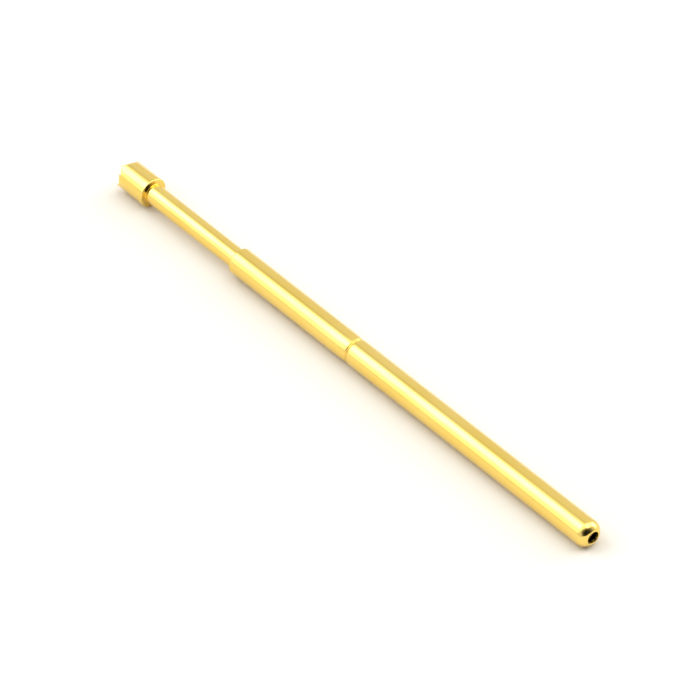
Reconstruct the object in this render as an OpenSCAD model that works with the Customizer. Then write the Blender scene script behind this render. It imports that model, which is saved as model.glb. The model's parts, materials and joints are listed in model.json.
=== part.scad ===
// Spring contact pin: a drawn barrel, a turned plunger with a serrated head, and the coil spring
// that pushes the plunger out until its tail bearing meets the crimp. All sizes are in millimetres.
// The pin lies along X with its head towards +X. The origin is on the axis, in the plane of the
// barrel's mouth. The plunger is drawn fully out, where the spring holds it.

/* [Barrel] */
// Length of the barrel, from mouth to tail
barrel_length = 24.95; // [20:0.05:32]
// Outside diameter of the barrel
barrel_d = 1.36; // [1.2:0.01:1.8]
// Thickness of the drawn wall
wall = 0.16; // [0.12:0.01:0.2]
// Radius of the rounded outside edge of the mouth
mouth_radius = 0.07; // [0.03:0.005:0.08]
// Radius of the rounded inside edge of the mouth
mouth_bore_radius = 0.02; // [0.01:0.005:0.03]

/* [Tail] */
// Outside radius of the rounded corner of the closed end
tail_radius = 0.5; // [0.3:0.01:0.58]
// Diameter of the vent hole in the closed end
vent_d = 0.62; // [0.3:0.02:0.8]

/* [Crimp] */
// Depth of the rolled groove that keeps the plunger in
crimp_depth = 0.08; // [0.06:0.005:0.1]
// Radius of the groove's floor
crimp_nose = 0.08; // [0.05:0.01:0.15]
// Inside radius where the wall turns in from the bore towards the groove
crimp_fillet = 0.04; // [0.02:0.01:0.1]

/* [Plunger] */
// Full travel of the plunger
stroke = 6.35; // [4:0.05:8]
// Shaft still in sight between head and mouth at full travel
stroke_reserve = 0.05; // [0.02:0.01:0.3]
// Length of shaft that the mouth guides while the plunger is fully out
guide_length = 1.7; // [1:0.05:3]
// Room left between the shaft's end and the crimp at full travel
neck_reserve = 0.15; // [0.05:0.01:0.4]
// Length of the bearing at the plunger's tail
bearing_length = 1.6; // [1:0.1:3]
// Radial clearance of the shaft and the bearing in the bore
running_clearance = 0.02; // [0.01:0.005:0.03]
// Radial clearance of the neck inside the crimp
neck_clearance = 0.08; // [0.04:0.01:0.12]
// Play between the bearing's shoulder and the crimp while the plunger is fully out
stop_play = 0.01; // [0.005:0.005:0.05]
// Bevel that breaks the plunger's turned edges
edge_break = 0.03; // [0.01:0.005:0.05]

/* [Head] */
// Diameter of the head
head_d = 1.5; // [1.2:0.02:2]
// Length of the head, from its rear shoulder to the tips of the teeth
head_length = 2; // [1:0.05:3]
// Radius of the head's rear edge
head_radius = 0.05; // [0.02:0.01:0.1]
// Fillet between the head's rear shoulder and the shaft
shaft_fillet = 0.04; // [0.02:0.01:0.08]
// Rows of pyramid teeth each way across the head
tooth_rows = 3; // [2:1:5]
// Angle of the grooves between the teeth
groove_angle = 90; // [70:1:120]
// Width of the small flat left on each tooth's tip
tooth_flat = 0.03; // [0.02:0.005:0.06]
// Turn of the rows about the axis, from upright
tooth_turn = 15; // [0:1:90]

/* [Spring] */
// Diameter of the wire
wire_d = 0.15; // [0.1:0.005:0.18]
// Turns that work, between the closed ends
active_turns = 29.5; // [15:0.5:34]
// Turns wound closed at each end
closed_turns = 1; // [1:0.5:2]
// Radial clearance between the spring and the bore
spring_clearance = 0.03; // [0.02:0.005:0.05]
// Space between neighbouring turns of a closed end
closed_space = 0.005; // [0.005:0.005:0.02]
// Clearance where each end of the spring rests
end_clearance = 0.01; // [0.005:0.005:0.02]

/* [Hidden] */
$fn = 96;
arc_steps = 8;
wire_sides = 6;
steps_per_turn = 15;
over = 0.1;
gold = [0.9, 0.74, 0.36];
steel = [0.74, 0.74, 0.72];

// Barrel radii, and the corner that the closed end turns round
barrel_r = barrel_d / 2;
bore_r = barrel_r - wall;
tail_x = -barrel_length;
corner_r = barrel_r - tail_radius;
corner_x = tail_x + tail_radius;
inner_corner = tail_radius - wall;

// Crimp: a groove rolled in from outside. The wall keeps its thickness, so the inside bulges.
shoulder_outer = wall + crimp_fillet;
crimp_swing = crimp_nose + shoulder_outer;
crimp_reach = crimp_swing - crimp_depth;
crimp_half = sqrt(crimp_swing * crimp_swing - crimp_reach * crimp_reach);
crimp_slope = atan2(crimp_half, crimp_reach);
crimp_centre_r = barrel_r - crimp_depth + crimp_nose;
crimp_x = -(guide_length + stroke + neck_reserve + crimp_half);
crimp_bore_r = bore_r - crimp_depth;

// Plunger stations, from the head back to the tail
shaft_r = bore_r - running_clearance;
neck_r = crimp_bore_r - neck_clearance;
head_r = head_d / 2;
head_x = stroke + stroke_reserve;
tip_x = head_x + head_length;
bulge_r = crimp_nose + wall;
bulge_rise = crimp_centre_r - shaft_r;
stop_x = crimp_x - sqrt(bulge_r * bulge_r - bulge_rise * bulge_rise) - stop_play;
plunger_end_x = stop_x - bearing_length;

// Teeth: V grooves both ways, one pitch apart, with a half groove at the rim on each side
tooth_pitch = head_d / tooth_rows;
groove_half = (tooth_pitch - tooth_flat) / 2;
groove_depth = groove_half / tan(groove_angle / 2);

// Spring: the wire's centre line runs from the rounded end to the plunger's tail
wire_r = wire_d / 2;
coil_r = bore_r - spring_clearance - wire_r;
corner_room = inner_corner - spring_clearance - wire_r;
corner_touch = inner_corner - end_clearance - wire_r;
floor_x = tail_x + wall + wire_r + end_clearance;
in_corner_x = corner_x - sqrt(max(0, corner_touch * corner_touch - corner_room * corner_room));
spring_start_x = corner_room > 0 ? in_corner_x : floor_x;
spring_end_x = plunger_end_x - end_clearance - wire_r;
closed_pitch = wire_d + closed_space;
spring_turns = active_turns + 2 * closed_turns;
spring_rise = spring_end_x - spring_start_x;
open_pitch = (spring_rise - 2 * closed_turns * closed_pitch) / active_turns;
spring_steps = round(spring_turns * steps_per_turn);

// Points on an arc round a centre, from one angle to another
function arc(centre, r, from, to) = [
    for (i = [0:arc_steps])
        let (a = from + (to - from) * i / arc_steps)
            centre + r * [cos(a), sin(a)]
];

// One side of the wall through the crimp, from the mouth's side to the tail's: in over a
// shoulder, round the groove's nose and out over the other shoulder
function crimp_side(shoulder, nose) = concat(
    arc([barrel_r - shoulder_outer, crimp_x + crimp_half], shoulder, 0, -crimp_slope),
    arc([crimp_centre_r, crimp_x], nose, 180 - crimp_slope, 180 + crimp_slope),
    arc([barrel_r - shoulder_outer, crimp_x - crimp_half], shoulder, crimp_slope, 0)
);

// How far along the axis the wire has climbed after t turns
function climb(t) =
    t < closed_turns ? t * closed_pitch
    : t > spring_turns - closed_turns ? spring_rise - (spring_turns - t) * closed_pitch
    : closed_turns * closed_pitch + (t - closed_turns) * open_pitch;

// Lead angle of the wire at t turns
function lead(t) =
    let (closed = t < closed_turns || t > spring_turns - closed_turns)
        atan((closed ? closed_pitch : open_pitch) / (2 * PI * coil_r));

// One ring of points round the wire at t turns, square to the wire
function wire_ring(t) = [
    for (k = [0:wire_sides - 1])
        let (
            turn = 360 * t,
            a = 360 * k / wire_sides,
            out = coil_r + wire_r * cos(a),
            side = wire_r * sin(a),
            tilt = lead(t)
        )
            [
                spring_start_x + climb(t) + side * cos(tilt),
                out * cos(turn) + side * sin(tilt) * sin(turn),
                out * sin(turn) - side * sin(tilt) * cos(turn)
            ]
];

// Lays a shape that was revolved about Z along X
module along_x() {
    rotate([0, 90, 0]) children();
}

module barrel() {
    outside = concat(
        [[0, tail_x]],
        arc([corner_r, corner_x], tail_radius, -90, 0),
        [for (i = [len(crimp_side(1, 1)) - 1:-1:0]) crimp_side(shoulder_outer, crimp_nose)[i]],
        arc([barrel_r - mouth_radius, -mouth_radius], mouth_radius, 0, 90)
    );
    inside = concat(
        arc([bore_r + mouth_bore_radius, -mouth_bore_radius], mouth_bore_radius, 90, 180),
        crimp_side(crimp_fillet, bulge_r),
        arc([corner_r, corner_x], inner_corner, 0, -90),
        [[0, tail_x + wall]]
    );
    color(gold)
        along_x()
            difference() {
                rotate_extrude() polygon(concat(outside, inside));
                translate([0, 0, tail_x - over]) cylinder(d = vent_d, h = wall + tail_radius + over);
            }
}

// The turned blank, before its teeth are cut
module plunger_blank() {
    rotate_extrude()
        polygon(concat(
            [[0, plunger_end_x]],
            [[shaft_r - edge_break, plunger_end_x], [shaft_r, plunger_end_x + edge_break]],
            [[shaft_r, stop_x], [neck_r, stop_x]],
            [[neck_r, -guide_length], [shaft_r - edge_break, -guide_length]],
            [[shaft_r, -guide_length + edge_break]],
            arc([shaft_r + shaft_fillet, head_x - shaft_fillet], shaft_fillet, 180, 90),
            arc([head_r - head_radius, head_x + head_radius], head_radius, -90, 0),
            [[head_r, tip_x], [0, tip_x]]
        ));
}

// One groove across the head, with its floor on the line through the axis
module groove() {
    rise = groove_depth + over;
    half = rise * tan(groove_angle / 2);
    translate([0, head_d, tip_x - groove_depth])
        rotate([90, 0, 0])
            linear_extrude(height = 2 * head_d) polygon([[0, 0], [half, rise], [-half, rise]]);
}

module plunger() {
    color(gold)
        rotate([tooth_turn, 0, 0])
            along_x()
                difference() {
                    plunger_blank();
                    for (quarter = [0, 90], row = [0:tooth_rows])
                        rotate(quarter)
                            translate([(row - tooth_rows / 2) * tooth_pitch, 0, 0]) groove();
                }
}

module spring() {
    rings = [for (i = [0:spring_steps]) each wire_ring(i * spring_turns / spring_steps)];
    last = spring_steps * wire_sides;
    skin = [
        for (i = [0:spring_steps - 1], k = [0:wire_sides - 1])
            let (
                a = i * wire_sides + k,
                b = i * wire_sides + (k + 1) % wire_sides
            )
                each [[a, b, b + wire_sides], [a, b + wire_sides, a + wire_sides]]
    ];
    start_cap = [for (k = [wire_sides - 1:-1:0]) k];
    end_cap = [for (k = [0:wire_sides - 1]) last + k];
    color(steel) polyhedron(points = rings, faces = concat(skin, [start_cap, end_cap]));
}

barrel();
plunger();
spring();
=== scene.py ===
# Studio scene of a spring contact pin: a drawn barrel, a turned plunger with a serrated head, and the
# coil spring between them. Every piece is modelled in millimetres, laid along X as the frame has it,
# and brought to metres at the end.
import json
import math

import bmesh
import bpy
from mathutils import Matrix, Vector


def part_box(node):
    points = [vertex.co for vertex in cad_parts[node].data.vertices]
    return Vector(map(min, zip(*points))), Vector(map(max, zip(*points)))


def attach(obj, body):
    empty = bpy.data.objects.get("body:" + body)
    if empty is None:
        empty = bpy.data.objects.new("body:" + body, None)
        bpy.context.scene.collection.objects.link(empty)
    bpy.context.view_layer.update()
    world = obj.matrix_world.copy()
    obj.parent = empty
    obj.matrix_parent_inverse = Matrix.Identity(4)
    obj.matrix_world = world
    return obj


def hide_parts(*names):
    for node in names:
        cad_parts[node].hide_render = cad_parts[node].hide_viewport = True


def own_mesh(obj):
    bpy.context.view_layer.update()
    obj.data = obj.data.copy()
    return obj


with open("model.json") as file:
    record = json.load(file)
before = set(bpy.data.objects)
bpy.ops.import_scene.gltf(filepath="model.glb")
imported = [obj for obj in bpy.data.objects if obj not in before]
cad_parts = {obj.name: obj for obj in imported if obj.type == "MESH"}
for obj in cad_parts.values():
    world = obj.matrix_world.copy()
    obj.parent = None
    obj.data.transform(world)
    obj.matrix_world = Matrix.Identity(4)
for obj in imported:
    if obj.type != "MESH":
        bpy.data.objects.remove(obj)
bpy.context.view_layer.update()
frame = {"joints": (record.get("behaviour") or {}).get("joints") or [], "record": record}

MM = 0.001

# ---------------------------------------------------------------- sizes from the frame, in millimetres

mounts = {mount["name"]: mount for mount in frame["record"]["mounts"]}
joints = {joint["name"]: joint for joint in frame["joints"]}
barrel_pin = mounts["barrel_outside"]
barrel_r = barrel_pin["dims"]["r_mm"]
tip_x = mounts["contact_points"]["pos_m"][0] / MM
tail_x = mounts["tail_contact"]["pos_m"][0] / MM
stroke = joints["plunger_slide"]["range_m"][1] / MM
head_r = round(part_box("plunger")[1].z / MM, 2)
plunger_end_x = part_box("plunger")[0].x / MM

# ---------------------------------------------------------------- sizes of the forms, in millimetres

# Barrel
wall = 0.16
mouth_radius = 0.07
mouth_bore_radius = 0.02
tail_radius = 0.5
vent_r = 0.31
vent_edge = 0.02

# Crimp: its groove, and the wall's gentle lead-in and steep turn on the mouth's side
crimp_depth = 0.08
crimp_nose = 0.08
crimp_fillet = 0.04
lead_radius = 5.0
lead_slope = math.radians(7)
groove_edge = 0.03
groove_wall = math.radians(70)

# Plunger
guide_length = 1.7
neck_reserve = 0.15
running_clearance = 0.02
neck_clearance = 0.08
stop_play = 0.01
edge_break = 0.03
bearing_edge = edge_break / 3
stroke_reserve = 0.05
shaft_fillet = 0.02
head_edge = 0.05
inner_radius = 0.02

# Teeth
tooth_rows = 3
tooth_flat = 0.03
tooth_turn = math.radians(15)
groove_angle = math.radians(66)
groove_nose = 0.012
cutter_over = 0.2
tooth_edge = 0.007

# Spring
wire_d = 0.15
active_turns = 29.5
closed_turns = 1
closed_space = 0.005
spring_clearance = 0.03
end_clearance = 0.01
wire_sides = 12
steps_per_turn = 32

# Worked out from the sizes above
bore_r = barrel_r - wall
shaft_r = bore_r - running_clearance
head_x = stroke + stroke_reserve
tooth_pitch = 2 * head_r / tooth_rows
shoulder_outer = wall + crimp_fillet
crimp_swing = crimp_nose + shoulder_outer
crimp_reach = crimp_swing - crimp_depth
crimp_half = math.sqrt(crimp_swing ** 2 - crimp_reach ** 2)
crimp_slope = math.atan2(crimp_half, crimp_reach)
crimp_x = -(guide_length + stroke + neck_reserve + crimp_half)
crimp_centre_r = barrel_r - crimp_depth + crimp_nose
bulge_r = crimp_nose + wall
neck_r = bore_r - crimp_depth - neck_clearance
stop_x = crimp_x - math.sqrt(bulge_r ** 2 - (crimp_centre_r - shaft_r) ** 2) - stop_play
coil_r = bore_r - spring_clearance - wire_d / 2

# ---------------------------------------------------------------- how the meshes are made

ROUND_STEPS = 192
QUARTER = math.pi / 2
X_AXIS = Vector((1, 0, 0))
# Edges that turn more than this are shaded as corners
CREASE = math.radians(40)
# Edges between the teeth's flanks that turn more than this are bevelled
RIDGE = math.radians(30)
# Points closer than this, in millimetres, become one: on a revolved form, and on the bevelled teeth
SAME_POINT = 1e-5
SLIVER = 5e-4


# ---------------------------------------------------------------- mesh tools

def arc(centre, radius, start, end, steps=8):
    """Points (x, r) round a centre, with angles measured from the +X direction towards +r."""
    cx, cr = centre
    turns = [start + (end - start) * i / steps for i in range(steps + 1)]
    return [(cx + radius * math.cos(a), cr + radius * math.sin(a)) for a in turns]


def revolve(outline, closed):
    """Turns an outline of (x, r) points about X into a welded bmesh."""
    bm = bmesh.new()
    points = [bm.verts.new((x, 0, r)) for x, r in outline]
    edges = [bm.edges.new(pair) for pair in zip(points, points[1:])]
    if closed:
        edges.append(bm.edges.new((points[-1], points[0])))
    bmesh.ops.spin(bm, geom=points + edges, cent=(0, 0, 0), axis=X_AXIS, dvec=(0, 0, 0),
                   angle=2 * math.pi, steps=ROUND_STEPS, use_merge=True, use_duplicate=False)
    weld(bm)
    return bm


def merge_points(bm, distance):
    bmesh.ops.remove_doubles(bm, verts=bm.verts, dist=distance)
    bmesh.ops.dissolve_degenerate(bm, edges=bm.edges, dist=distance)


def weld(bm):
    merge_points(bm, SAME_POINT)
    bmesh.ops.recalc_face_normals(bm, faces=bm.faces)


def object_of(name, bm):
    """Puts a bmesh into a new object in the scene, and frees it."""
    mesh = bpy.data.meshes.new(name)
    bm.to_mesh(mesh)
    bm.free()
    made = bpy.data.objects.new(name, mesh)
    bpy.context.scene.collection.objects.link(made)
    return made


def piece(name, bm, body, node, material):
    """Brings a finished bmesh to metres, and makes it the piece that stands for a CAD node."""
    for face in bm.faces:
        face.smooth = True
    for edge in bm.edges:
        if edge.is_manifold and edge.calc_face_angle() > CREASE:
            edge.smooth = False
    bmesh.ops.scale(bm, vec=(MM, MM, MM), verts=bm.verts)
    made = object_of(name, bm)
    made.data.materials.append(material)
    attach(made, body)
    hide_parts(node)
    return made


def flatten_normals(made):
    """Lets the large faces set the shading, so that only the narrow rounded edges turn it."""
    modifier = made.modifiers.new("large_faces_lead", "WEIGHTED_NORMAL")
    modifier.mode = "FACE_AREA"
    modifier.weight = 50
    modifier.keep_sharp = True


# ---------------------------------------------------------------- barrel

def crimp_inside():
    """The wall's inside through the crimp, from the tail's side to the mouth's."""
    out = arc((crimp_x + crimp_half, barrel_r - shoulder_outer), crimp_fillet,
              QUARTER + crimp_slope, QUARTER)
    bulge = arc((crimp_x, crimp_centre_r), bulge_r,
                -QUARTER - crimp_slope, -QUARTER + crimp_slope, 12)
    back = arc((crimp_x - crimp_half, barrel_r - shoulder_outer), crimp_fillet,
               QUARTER, QUARTER - crimp_slope)
    return back + bulge + out


def crimp_outside():
    """The wall's outside through the crimp, from the mouth's side to the tail's. The roller drew the
    wall in gently on the mouth's side, then cut down steeply, and left a soft slope on the tail's."""
    lead_drop = lead_radius * (1 - math.cos(lead_slope))
    edge_drop = groove_edge * (math.cos(lead_slope) - math.cos(groove_wall))
    front_nose = (crimp_depth - lead_drop - edge_drop) / (1 - math.cos(groove_wall))
    nose_r = barrel_r - crimp_depth + front_nose
    swing = groove_edge + front_nose
    edge_x = crimp_x + swing * math.sin(groove_wall)
    edge_centre = (edge_x, nose_r - swing * math.cos(groove_wall))
    lead_centre = (edge_x + (lead_radius - groove_edge) * math.sin(lead_slope), barrel_r - lead_radius)
    shoulder_centre = (crimp_x - crimp_half, barrel_r - shoulder_outer)
    return (
        arc(lead_centre, lead_radius, QUARTER, QUARTER + lead_slope, 10)
        + arc(edge_centre, groove_edge, QUARTER + lead_slope, QUARTER + groove_wall, 6)
        + arc((crimp_x, nose_r), front_nose, groove_wall - QUARTER, -QUARTER, 6)
        + arc((crimp_x, crimp_centre_r), crimp_nose, -QUARTER, -QUARTER - crimp_slope)
        + arc(shoulder_centre, shoulder_outer, QUARTER - crimp_slope, QUARTER)
    )


def barrel():
    corner = (tail_x + tail_radius, barrel_r - tail_radius)
    inner_corner = tail_radius - wall

    def vent_angle(radius):
        """Angle, past square to the axis, at which a dome of that radius reaches the vent's edge."""
        return math.acos((vent_r + vent_edge - corner[1]) / radius)

    lip_out = corner[0] - tail_radius * math.sin(vent_angle(tail_radius))
    lip_in = corner[0] - inner_corner * math.sin(vent_angle(inner_corner))
    outline = (
        arc((-mouth_radius, barrel_r - mouth_radius), mouth_radius, 0, QUARTER)
        + crimp_outside()
        + arc(corner, tail_radius, QUARTER, QUARTER + vent_angle(tail_radius), 24)
        + arc((lip_out + vent_edge, vent_r + vent_edge), vent_edge, math.pi, 3 * QUARTER, 5)[1:]
        + arc((lip_in - vent_edge, vent_r + vent_edge), vent_edge, -QUARTER, 0, 5)[:-1]
        + arc(corner, inner_corner, QUARTER + vent_angle(inner_corner), QUARTER, 16)
        + crimp_inside()
        + arc((-mouth_bore_radius, bore_r + mouth_bore_radius), mouth_bore_radius, -QUARTER, 0, 5)
    )
    flatten_normals(piece("barrel_tube", revolve(outline, closed=True), "barrel", "barrel",
                          drawn_gold()))


# ---------------------------------------------------------------- plunger

def plunger_blank():
    """The turned blank, from its tail round to the flat front of the head."""
    front_fillet = arc((head_x - shaft_fillet, shaft_r + shaft_fillet), shaft_fillet, -QUARTER, 0)
    outline = (
        [(plunger_end_x, 0), (plunger_end_x, shaft_r - edge_break)]
        + [(plunger_end_x + edge_break, shaft_r), (stop_x - bearing_edge, shaft_r)]
        + [(stop_x, shaft_r - bearing_edge), (stop_x, neck_r + inner_radius)]
        + arc((stop_x + inner_radius, neck_r + inner_radius), inner_radius,
              math.pi, 3 * QUARTER, 4)[1:]
        + arc((-guide_length - inner_radius, neck_r + inner_radius), inner_radius, -QUARTER, 0, 4)
        + [(-guide_length, shaft_r - edge_break), (-guide_length + edge_break, shaft_r)]
        + front_fillet
        + arc((head_x + head_edge, head_r - head_edge), head_edge, math.pi, QUARTER)
        + [(tip_x, head_r), (tip_x, 0)]
    )
    return revolve(outline, closed=False)


def groove_cutter(upright):
    """A row of V bars that cut the grooves one way across the head. Their noses are rounded."""
    half = groove_angle / 2
    flank = QUARTER - half
    depth = (tooth_pitch - tooth_flat) / 2 / math.tan(half)
    rise = depth + cutter_over
    nose_x = tip_x - depth
    centre = (nose_x + groove_nose / math.sin(half), 0)
    nose = arc(centre, groove_nose, math.pi + flank, math.pi - flank, 4)
    top_x = nose_x + rise
    top_side = rise * math.tan(half)
    section = nose + [(top_x, top_side), (top_x, -top_side)]
    bm = bmesh.new()
    for row in range(tooth_rows + 1):
        offset = (row - tooth_rows / 2) * tooth_pitch
        face = bm.faces.new([bm.verts.new((x, offset + side, -2 * head_r)) for x, side in section])
        pulled = bmesh.ops.extrude_face_region(bm, geom=[face])["geom"]
        tops = [item for item in pulled if isinstance(item, bmesh.types.BMVert)]
        bmesh.ops.translate(bm, vec=(0, 0, 4 * head_r), verts=tops)
    bmesh.ops.recalc_face_normals(bm, faces=bm.faces)
    turn = tooth_turn + (0 if upright else QUARTER)
    bmesh.ops.rotate(bm, cent=(0, 0, 0), matrix=Matrix.Rotation(turn, 3, "X"), verts=bm.verts)
    return object_of("groove_cutter", bm)


def is_ridge(edge):
    """Whether an edge of the cut head stands proud enough to be broken."""
    in_front = min(vert.co.x for vert in edge.verts) > head_x + head_edge + 0.1
    return in_front and edge.is_manifold and edge.is_convex and edge.calc_face_angle() > RIDGE


def cut_teeth(bm):
    """Cuts the grooves both ways across the blank's front, and breaks the edges that they leave."""
    blank = object_of("plunger_blank", bm)
    cutters = [groove_cutter(True), groove_cutter(False)]
    for cutter in cutters:
        cut = blank.modifiers.new("groove", "BOOLEAN")
        cut.operation = "DIFFERENCE"
        cut.solver = "EXACT"
        cut.object = cutter
    bpy.context.view_layer.update()
    finished = blank.evaluated_get(bpy.context.evaluated_depsgraph_get())
    made = bmesh.new()
    made.from_mesh(bpy.data.meshes.new_from_object(finished))
    for spare in [blank] + cutters:
        bpy.data.objects.remove(spare)
    merge_points(made, SAME_POINT)
    ridges = [edge for edge in made.edges if is_ridge(edge)]
    bmesh.ops.bevel(made, geom=ridges, offset=tooth_edge, offset_type="OFFSET", segments=2, profile=0.5,
                    affect="EDGES", material=-1, clamp_overlap=True)
    merge_points(made, SLIVER)
    bmesh.ops.triangulate(made, faces=[face for face in made.faces if len(face.verts) > 4])
    bmesh.ops.recalc_face_normals(made, faces=made.faces)
    return made


def plunger():
    flatten_normals(piece("plunger_turned", cut_teeth(plunger_blank()), "plunger", "plunger",
                          turned_gold()))


# ---------------------------------------------------------------- spring

def spring():
    """Winds the wire: a closed turn, the working turns, and a closed turn."""
    wire_r = wire_d / 2
    inner_corner = tail_radius - wall
    room = inner_corner - spring_clearance - wire_r
    touch = inner_corner - end_clearance - wire_r
    start_x = tail_x + tail_radius - math.sqrt(touch ** 2 - room ** 2)
    end_x = plunger_end_x - end_clearance - wire_r
    closed_pitch = wire_d + closed_space
    open_pitch = (end_x - start_x - 2 * closed_turns * closed_pitch) / active_turns
    bm = bmesh.new()
    ring = bmesh.ops.create_circle(bm, cap_ends=True, segments=wire_sides, radius=wire_r)["verts"]
    bmesh.ops.rotate(bm, cent=(0, 0, 0), matrix=Matrix.Rotation(QUARTER, 3, "X"), verts=ring)
    bmesh.ops.translate(bm, vec=(start_x, 0, coil_r), verts=ring)
    section = list(bm.verts) + list(bm.edges) + list(bm.faces)
    bmesh.ops.rotate(bm, cent=(0, 0, 0), matrix=Matrix.Rotation(-QUARTER, 3, "X"), verts=bm.verts)
    closed_end = (closed_turns, closed_pitch)
    for turns, pitch in (closed_end, (active_turns, open_pitch), closed_end):
        wound = bmesh.ops.spin(bm, geom=section, cent=(0, 0, 0), axis=X_AXIS, angle=2 * math.pi * turns,
                               steps=round(turns * steps_per_turn), dvec=(pitch / steps_per_turn, 0, 0),
                               use_merge=False, use_duplicate=False)
        section = wound["geom_last"]
    weld(bm)
    made = piece("coil_spring", bm, "spring", "spring", spring_steel())
    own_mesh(made)


# ---------------------------------------------------------------- materials

def nodes_of(name):
    """A new material with one Principled shader, and its node tools."""
    material = bpy.data.materials.new(name)
    material.use_nodes = True
    tree = material.node_tree
    shader = tree.nodes["Principled BSDF"]
    return material, tree, shader


def texture_space(tree, scale):
    """Object coordinates, in features per millimetre along each axis."""
    place = tree.nodes.new("ShaderNodeTexCoord")
    mapping = tree.nodes.new("ShaderNodeMapping")
    mapping.inputs["Scale"].default_value = [s / MM for s in scale]
    tree.links.new(place.outputs["Object"], mapping.inputs["Vector"])
    return mapping.outputs["Vector"]


def noise(tree, scale, detail=3.0, roughness=0.55):
    made = tree.nodes.new("ShaderNodeTexNoise")
    made.inputs["Scale"].default_value = 1.0
    made.inputs["Detail"].default_value = detail
    made.inputs["Roughness"].default_value = roughness
    tree.links.new(texture_space(tree, scale), made.inputs["Vector"])
    return made.outputs["Fac"]


def spread(tree, value, low, high, to_low, to_high):
    """Maps a value smoothly from one range to another."""
    made = tree.nodes.new("ShaderNodeMapRange")
    made.interpolation_type = "SMOOTHSTEP"
    for socket, number in zip(made.inputs[1:5], (low, high, to_low, to_high)):
        socket.default_value = number
    tree.links.new(value, made.inputs["Value"])
    return made.outputs["Result"]


def two_tone(tree, mask, first, second):
    made = tree.nodes.new("ShaderNodeMix")
    made.data_type = "RGBA"
    made.inputs["A"].default_value = (*first, 1)
    made.inputs["B"].default_value = (*second, 1)
    tree.links.new(mask, made.inputs["Factor"])
    return made.outputs["Result"]


def bump(tree, height, depth_mm, strength, over=None):
    made = tree.nodes.new("ShaderNodeBump")
    made.inputs["Strength"].default_value = strength
    made.inputs["Distance"].default_value = depth_mm * MM
    tree.links.new(height, made.inputs["Height"])
    if over is not None:
        tree.links.new(over, made.inputs["Normal"])
    return made.outputs["Normal"]


# The two tones that a metal's clouds run between, and the roughness that its lines run between
PLATE_TONES = ((0.86, 0.61, 0.14), (0.89, 0.65, 0.18))
PLATE_SHINE = (0.07, 0.13)
WIRE_TONES = ((0.60, 0.59, 0.56), (0.68, 0.67, 0.65))
WIRE_SHINE = (0.24, 0.36)


def between(tree, pattern, start, end):
    """A noise pattern's middle stretch, run from one value to another."""
    return spread(tree, pattern, 0.3, 0.7, start, end)


def bare_metal(tree, shader, clouds, tones, lines, shine):
    """Sets a metal's cloudy tone, and a roughness that follows its lines."""
    shader.inputs["Metallic"].default_value = 1.0
    tree.links.new(two_tone(tree, between(tree, clouds, 0, 1), *tones), shader.inputs["Base Color"])
    tree.links.new(between(tree, lines, *shine), shader.inputs["Roughness"])


def drawn_gold():
    """Gold plate over a drawn tube: long faint lines, a cloudy tone and fine handling marks."""
    material, tree, shader = nodes_of("drawn_gold")
    clouds = noise(tree, (0.25, 0.9, 0.9), detail=4)
    lines = noise(tree, (0.12, 26, 26), detail=4, roughness=0.65)
    grain = noise(tree, (18, 40, 40), detail=2)
    bare_metal(tree, shader, clouds, PLATE_TONES, lines, PLATE_SHINE)
    fine = bump(tree, grain, 0.0004, 0.5)
    tree.links.new(bump(tree, lines, 0.0012, 0.6, fine), shader.inputs["Normal"])
    return material


def turned_gold():
    """Gold plate over a turned part: fine rings round the axis and a cloudy tone."""
    material, tree, shader = nodes_of("turned_gold")
    clouds = noise(tree, (0.6, 1.1, 1.1), detail=4)
    rings = noise(tree, (30, 0.8, 0.8), detail=4, roughness=0.6)
    grain = noise(tree, (40, 40, 40), detail=2)
    bare_metal(tree, shader, clouds, PLATE_TONES, rings, PLATE_SHINE)
    fine = bump(tree, grain, 0.0004, 0.5)
    tree.links.new(bump(tree, rings, 0.001, 0.5, fine), shader.inputs["Normal"])
    return material


def spring_steel():
    """Drawn stainless wire: grey, satin, with die lines and a faint straw tone."""
    material, tree, shader = nodes_of("spring_steel")
    clouds = noise(tree, (1.5, 1.5, 1.5), detail=3)
    lines = noise(tree, (40, 6, 6), detail=3)
    bare_metal(tree, shader, clouds, WIRE_TONES, lines, WIRE_SHINE)
    tree.links.new(bump(tree, lines, 0.001, 0.5), shader.inputs["Normal"])
    return material


# ---------------------------------------------------------------- studio

TABLE_RADIUS = 3.0


def studio_floor():
    """A pale matt table. It leans a hair along X, as the head's rim and the tail both rest on it."""
    rest_front = Vector((head_x + head_edge, 0, -head_r)) * MM
    rest_back = Vector((tail_x + tail_radius, 0, -barrel_r)) * MM
    lean = math.atan2(rest_back.z - rest_front.z, rest_front.x - rest_back.x)
    bm = bmesh.new()
    bmesh.ops.create_circle(bm, cap_ends=True, segments=64, radius=TABLE_RADIUS)
    bmesh.ops.rotate(bm, cent=(0, 0, 0), matrix=Matrix.Rotation(lean, 3, "Y"), verts=bm.verts)
    bmesh.ops.translate(bm, vec=rest_front, verts=bm.verts)
    floor = object_of("studio_floor", bm)
    material, _, shader = nodes_of("matt_table")
    shader.inputs["Base Color"].default_value = (0.735, 0.705, 0.65, 1)
    shader.inputs["Roughness"].default_value = 0.9
    shader.inputs["Specular IOR Level"].default_value = 0.2
    floor.data.materials.append(material)


def towards(azimuth, elevation):
    """Unit vector at degrees round from +X towards +Y, and degrees above the table."""
    round_z, above = math.radians(azimuth), math.radians(elevation)
    level = math.cos(above)
    return Vector((level * math.cos(round_z), level * math.sin(round_z), math.sin(above)))


def nearness(tree, sky, direction):
    """How far each part of the tent lies along a direction, from -1 to 1."""
    made = tree.nodes.new("ShaderNodeVectorMath")
    made.operation = "DOT_PRODUCT"
    made.inputs[1].default_value = direction
    tree.links.new(sky, made.inputs[0])
    return made.outputs["Value"]


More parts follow.
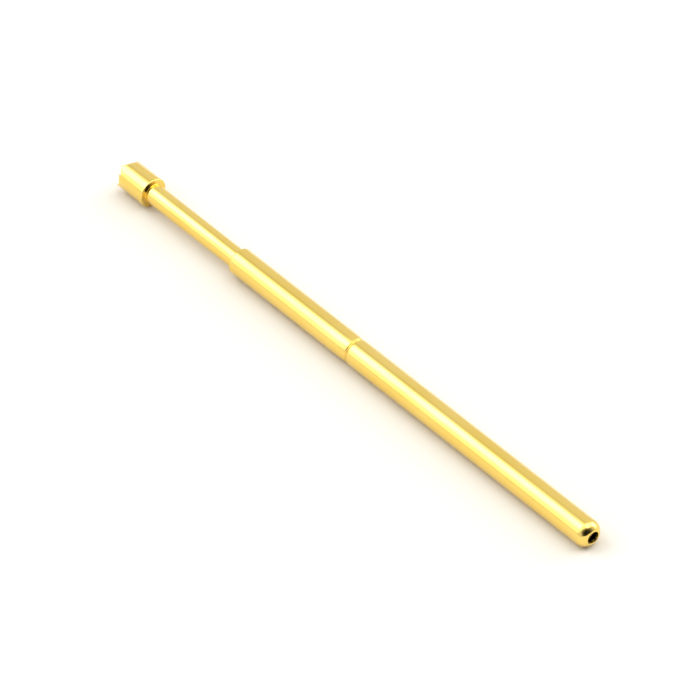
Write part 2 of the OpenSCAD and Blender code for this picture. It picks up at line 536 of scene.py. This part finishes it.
def patch(tree, sky, azimuth, elevation, inner, outer, middle, rim):
    """A soft round patch of the tent, that goes from its middle's value to its rim's."""
    near = nearness(tree, sky, towards(azimuth, elevation))
    return spread(tree, near, math.cos(math.radians(outer)), math.cos(math.radians(inner)), rim, middle)


def seam(tree, sky, square_to, half_width, left):
    """A line right round the tent, in the plane square to a direction, that keeps a part of the light."""
    off = tree.nodes.new("ShaderNodeMath")
    off.operation = "ABSOLUTE"
    tree.links.new(nearness(tree, sky, square_to), off.inputs[0])
    return spread(tree, off.outputs[0], 0.3 * half_width, half_width, left, 1)


def combine(tree, operation, first, second):
    made = tree.nodes.new("ShaderNodeMath")
    made.operation = operation
    tree.links.new(first, made.inputs[0])
    tree.links.new(second, made.inputs[1])
    return made.outputs[0]


# Lit patches of the tent, which make up two soft lamps and a lighter roof: azimuth, elevation, inner and
# outer angle in degrees, and brightness
LAMPS = (
    (-103, 30, 4, 24, 3.2),
    (-112, 8, 4, 22, 1.4),
    (-125, 68, 6, 30, 2.0),
    (33, 47, 5, 26, 2.2),
    (45, 34, 8, 40, 0.9),
    (90, 80, 10, 45, 0.6),
)

# Shaded patches, such as the opening that the camera looks through: the same, but the last number is
# the part of the light that is left in the middle
SHADES = (
    (168, 15, 14, 58, 0.04),
    (140, 36, 8, 40, 0.2),
    (-25, 50, 5, 36, 0.88),
)

# Thin darker lines round the tent, along a seam and the horizon: the direction square to each, half
# its width, and the part of the light that is left
SEAMS = (
    (towards(90, 18), 0.10, 0.78),
    (towards(0, 90), 0.035, 0.6),
)


def studio_light():
    """A white tent with two soft lamps behind it and an opening in front."""
    world = bpy.data.worlds.new("white_tent")
    bpy.context.scene.world = world
    world.use_nodes = True
    tree = world.node_tree
    background = tree.nodes["Background"]
    place = tree.nodes.new("ShaderNodeTexCoord")
    sky = place.outputs["Generated"]
    split = tree.nodes.new("ShaderNodeSeparateXYZ")
    tree.links.new(sky, split.inputs[0])
    total = spread(tree, split.outputs["Z"], 0.0, 0.95, 0.9, 1.1)
    for azimuth, elevation, inner, outer, brightness in LAMPS:
        lamp = patch(tree, sky, azimuth, elevation, inner, outer, brightness, 0)
        total = combine(tree, "ADD", total, lamp)
    for azimuth, elevation, inner, outer, left in SHADES:
        shade = patch(tree, sky, azimuth, elevation, inner, outer, left, 1)
        total = combine(tree, "MULTIPLY", total, shade)
    for square_to, half_width, left in SEAMS:
        total = combine(tree, "MULTIPLY", total, seam(tree, sky, square_to, half_width, left))
    background.inputs["Color"].default_value = (1, 1, 0.99, 1)
    tree.links.new(total, background.inputs["Strength"])


def camera():
    """A long lens, level with no roll, over the tail's side of the pin."""
    azimuth, elevation = math.radians(229.94), math.radians(41.25)
    distance = 330 * MM
    aim = Vector((-8.169, 0.122, 0)) * MM
    back = Vector((math.sin(azimuth) * math.cos(elevation),
                   -math.cos(azimuth) * math.cos(elevation),
                   math.sin(elevation)))
    data = bpy.data.cameras.new("camera")
    data.lens = 368.5
    data.sensor_width = 36
    data.clip_start = 10 * MM
    data.clip_end = 10
    made = bpy.data.objects.new("camera", data)
    made.rotation_mode = "QUATERNION"
    made.location = aim + back * distance
    made.rotation_quaternion = (-back).to_track_quat("-Z", "Y")
    bpy.context.scene.collection.objects.link(made)
    bpy.context.scene.camera = made


camera()
studio_floor()
studio_light()
bpy.context.scene.view_settings.view_transform = "Standard"
barrel()
plunger()
spring()
